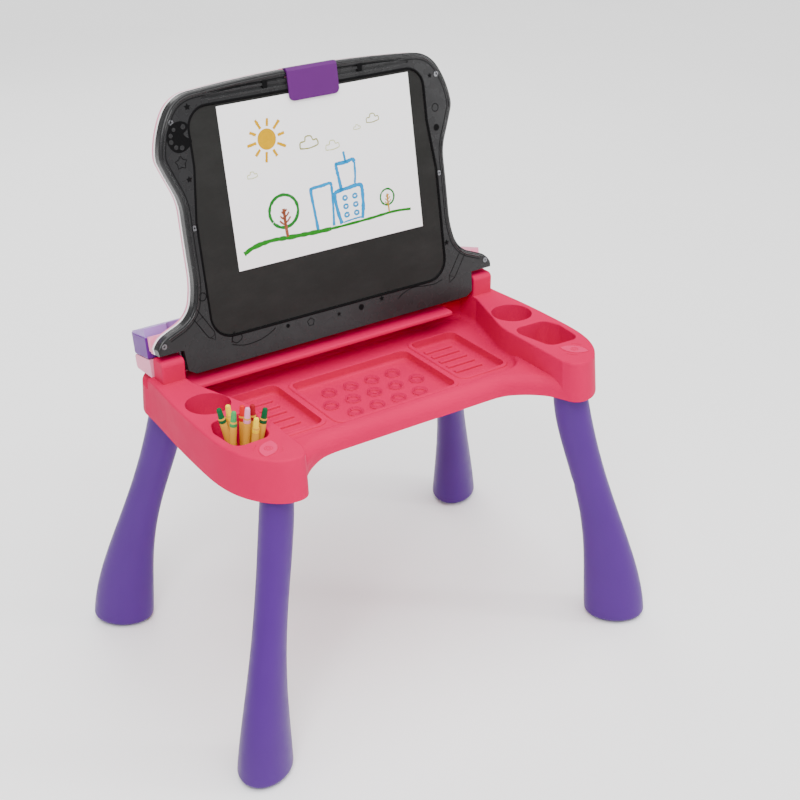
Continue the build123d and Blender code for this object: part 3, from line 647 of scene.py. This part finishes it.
# place of each crayon's foot, of its tip, and its colour
CRAYONS = [
    ((-236, -72), (-253, -72, 433), (22, 88, 50)), ((-230, -62), (-235, -60, 427), (236, 196, 36)),
    ((-246, -82), (-242, -88, 433), (64, 148, 84)), ((-221, -66), (-220, -67, 425), (206, 24, 32)),
    ((-226, -79), (-222, -84, 430), (232, 150, 190)), ((-211, -70), (-209, -72, 425), (150, 22, 38)),
    ((-226, -98), (-223, -106, 427), (238, 206, 30)), ((-219, -91), (-208, -101, 433), (20, 82, 48)),
]
wrap = paper_surface("crayon_wrap", (204, 146, 34))
for n, (foot, tip, rgb) in enumerate(CRAYONS, 1):
    foot, tip = Vector((*foot, BIN_FLOOR)) * MM, Vector(tip) * MM
    length = (tip - foot).length / MM
    shoulder = length - CRAYON_TIP
    stick = placement(foot, (tip - foot).orthogonal(), tip - foot)
    color = moulded(f"crayon_color_{n}", rgb, 0.5, 0.1, grain=0.00004, edge_wear_and_highlight=0.1, shine=0.06)
    core = [(2.6, 0.2), (3.5, 0.8), (3.7, 4), (3.7, shoulder + 0.2), (3.45, shoulder + 1.2),
            (3.1, length - 2.2), (2.5, length - 0.7), (1.2, length - 0.1)]
    wax_stick = lathe(f"crayon_{n}_wax", core, stick, color, "crayons")
    sleeve = [(3.68, 5), (4.15, 5.3), (CRAYON_R - 0.08, 6), (CRAYON_R - 0.08, shoulder - 0.8),
              (3.68, shoulder)]
    lathe(f"crayon_{n}_wrap", sleeve, stick, wrap, "crayons")
    band = [(CRAYON_R - 0.1, shoulder - 6.5), (CRAYON_R, shoulder - 6.4), (CRAYON_R, shoulder - 2.1),
            (CRAYON_R - 0.1, shoulder - 2)]
    lathe(f"crayon_{n}_band", band, stick, color, "crayons")
    if n == 1:
        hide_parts("crayons")

# ---- tray: a lens and a ring in relief on each arm's tip, the lens filled a lighter pink as a painted highlight ---
for side, label in ((-1, "left"), (1, "right")):
    tip_top = placement(Vector((side * 227, -138, ARM_TOP)) * MM, Vector((0.63, -0.78 * side, 0)),
                        Vector((0, 0, 1)))
    lens = arc((0, -11.5), 22, 31.5, 148.5, 24)[:-1] + arc((0, 11.5), 22, 211.5, 328.5, 24)[:-1]
    plates(f"arm_lens_{label}", [lens], -0.3, 0.25, tip_top, lens_highlight_pink, "base", 0.1)
    rings = [(arc((0, 0), 4.6), True), (arc((0, 0), 2.2, count=24), True), (lens, True)]
    rings += [([(-7, 15.5 * s), (0, 17 * s), (7, 15.5 * s)], False) for s in (1, -1)]
    beads(f"arm_lines_{label}", rings, 0.6, 0.25, tip_top, SLOTS["pink_tray"], "base", flat=0.7)

# ---- tray: painted shade at the feet of the raised rings in the middle recess ----------------------------
recess_floor = placement(Vector((0, 0, RECESS_FLOOR)) * MM, Vector((1, 0, 0)), Vector((0, 0, 1)))
ring_foot_shades = [(arc((33 * (n - (count - 1) / 2), -14 + 31 * row), radius), True)
             for row, count in ((-1, 4), (0, 5), (1, 4)) for n in range(count) for radius in (9.6, 7.3)]
beads("recess_ring_foot_shades", ring_foot_shades, 0.32, 0.05, recess_floor, ring_foot_shade_pink, "base", flat=0.4)

# ---- the printed page on the desktop -------------------------------------------------------------------
PRINT_LOW, PRINT_HIGH = -0.79, -0.72
TILES = [((-96, -240), (86, 176, 214)), ((-32, -240), (244, 190, 60)), ((32, -240), (232, 92, 110)),
         ((96, -240), (120, 190, 92)), ((-96, -176), (236, 140, 70)), ((-32, -176), (150, 110, 190)),
         ((32, -176), (70, 180, 170)), ((96, -176), (240, 150, 190))]


def page_shape(kind, center):
    """One of eight plain shapes, about 30 mm across."""
    x, y = center
    if kind == "heart":
        turns = [math.radians(9 * k) for k in range(40)]
        return [(x + 0.95 * 16 * math.sin(t) ** 3, y + 0.95 * (13 * math.cos(t) - 5 * math.cos(2 * t)
                 - 2 * math.cos(3 * t) - math.cos(4 * t))) for t in turns]
    if kind == "drop":
        return arc((x, y - 4), 11, -205, 25, 28) + [(x, y + 17)]
    return {"disc": arc(center, 15), "square": rounded_box(center, 27, 27, 3), "star": star(center, 18, 0.48),
            "triangle": arc((x, y - 3), 18, 90, 450, 3), "oval": arc(center, 17, squash=0.62),
            "diamond": arc(center, 17, 0, 360, 4)}[kind]


for n, (center, rgb) in enumerate(TILES, 1):
    tile = moulded(f"page_color_{n}", rgb, 0.6, 0.03, edge_wear_and_highlight=0.0, shine=0.15)
    plates(f"page_tile_{n}", [rounded_box(center, 56, 56, 8)], PRINT_LOW, PRINT_HIGH, DESKTOP, tile, "lid",
           0.0)
kinds = ["disc", "square", "triangle", "star", "heart", "oval", "diamond", "drop"]
shapes = [page_shape(kind, center) for kind, (center, _) in zip(kinds, TILES)]
plates("page_shapes", shapes, PRINT_HIGH, PRINT_HIGH + 0.06, DESKTOP, ink_white, "lid", 0.0)
PATH_STEPS = 12
path = smooth([(126, -112), (90, -128), (50, -100), (8, -126), (-34, -100), (-78, -128), (-126, -108)],
              steps=PATH_STEPS)
beads("page_path", [(path, False)], 2.2, PRINT_HIGH - 0.02, DESKTOP, ink_dark, "lid", flat=0.05)
stops = [arc(path[k], 6.5, count=32) for k in range(0, len(path), PATH_STEPS)]
plates("page_path_stops", stops, PRINT_HIGH, PRINT_HIGH + 0.1, DESKTOP, SLOTS["key_yellow"], "lid",
       0.0)

# ---- console -----------------------------------------------------------------------------------------
DIGIT_HEIGHT = 5.05
ICON_LOW, ICON_HIGH = 4.95, 5.2
for digit in range(10):
    column, row = digit % 5, digit // 5
    lettering(f"digit_{digit}", str(digit), 15, (36 + 25 * column, 13 - 26 * row), DIGIT_HEIGHT, PANEL,
              ink_dark, f"number_key_{digit}")
icons = [star((-104, 21), 5.2), arc((-104, 0), 4.4, count=3), rounded_box((-104, -21), 8, 8, 1.2)]
for n, outline in enumerate(icons):
    plates(f"mode_icon_{n + 1}", [outline], ICON_LOW, ICON_HIGH, PANEL, ink_white, f"mode_button_{n + 1}",
           0.05)
RAINBOW = [(222, 60, 60), (240, 150, 40), (240, 208, 50), (80, 176, 84), (66, 130, 204)]
for n, rgb in enumerate(RAINBOW):
    at = (-82 + 20 * n, -22)
    note = moulded(f"note_color_{n + 1}", rgb, 0.4, 0.05)
    head = arc((at[0] - 1.6, at[1] - 3.4), 2.6, squash=0.8)
    stem = rounded_box((at[0] + 0.7, at[1] + 0.8), 0.9, 8.4, 0.4)
    plates(f"note_{n + 1}", [head, stem], ICON_LOW, ICON_HIGH, PANEL, note, f"music_key_{n + 1}",
           0.05)

# ---- floor, light and camera -------------------------------------------------------------------------
bpy.ops.mesh.primitive_plane_add(size=12, location=(0, 0, 0))
floor = bpy.context.object
floor.name = "studio_floor"
floor_surface = Surface("studio_floor", linear((250, 250, 250)), 0.6)
floor_tones = linear((247, 247, 247)), linear((252, 252, 252))
floor_surface.color(floor_surface.mix(floor_surface.noise(2, 2), *floor_tones))
floor.data.materials.append(floor_surface.material)

world = bpy.data.worlds.new("studio")
bpy.context.scene.world = world
world.use_nodes = True
world.node_tree.nodes["Background"].inputs["Color"].default_value = (1, 1, 1, 1)
world.node_tree.nodes["Background"].inputs["Strength"].default_value = 0.36


def softbox(name, at, target, size, power):
    """A rectangular area light turned towards its target."""
    light = bpy.data.lights.new(name, "AREA")
    light.shape = "RECTANGLE"
    light.size, light.size_y = size
    light.energy = power
    lamp = bpy.data.objects.new(name, light)
    bpy.context.scene.collection.objects.link(lamp)
    lamp.location = at
    lamp.rotation_euler = (Vector(target) - Vector(at)).to_track_quat("-Z", "Y").to_euler()


softbox("key", (-1.5, -1.7, 2.3), (0, 0, 0.4), (1.2, 1.2), 72)
softbox("strip", (2.2, -1.9, 1.3), (0, 0, 0.4), (0.35, 1.6), 30)
softbox("back", (0.6, 2.4, 1.9), (0, 0, 0.5), (1.8, 1.2), 26)

overhead_data = bpy.data.lights.new("overhead", "SUN")
overhead_data.energy = 4.4
overhead_data.angle = math.radians(70)
overhead = bpy.data.objects.new("overhead", overhead_data)
bpy.context.scene.collection.objects.link(overhead)
overhead.rotation_euler = (math.radians(8), math.radians(4), 0)

camera_data = bpy.data.cameras.new("camera")
camera = bpy.data.objects.new("camera", camera_data)
bpy.context.scene.collection.objects.link(camera)
camera_data.lens = 64.26
camera_data.sensor_width = 36
camera_data.shift_x = 0.0014
camera_data.shift_y = -0.0029
camera.location = (-0.90468, -1.37217, 1.19906)
yaw, pitch = math.radians(34.763), math.radians(27.582)
camera.rotation_euler = (math.pi / 2 - pitch, 0, -yaw)
bpy.context.scene.camera = camera
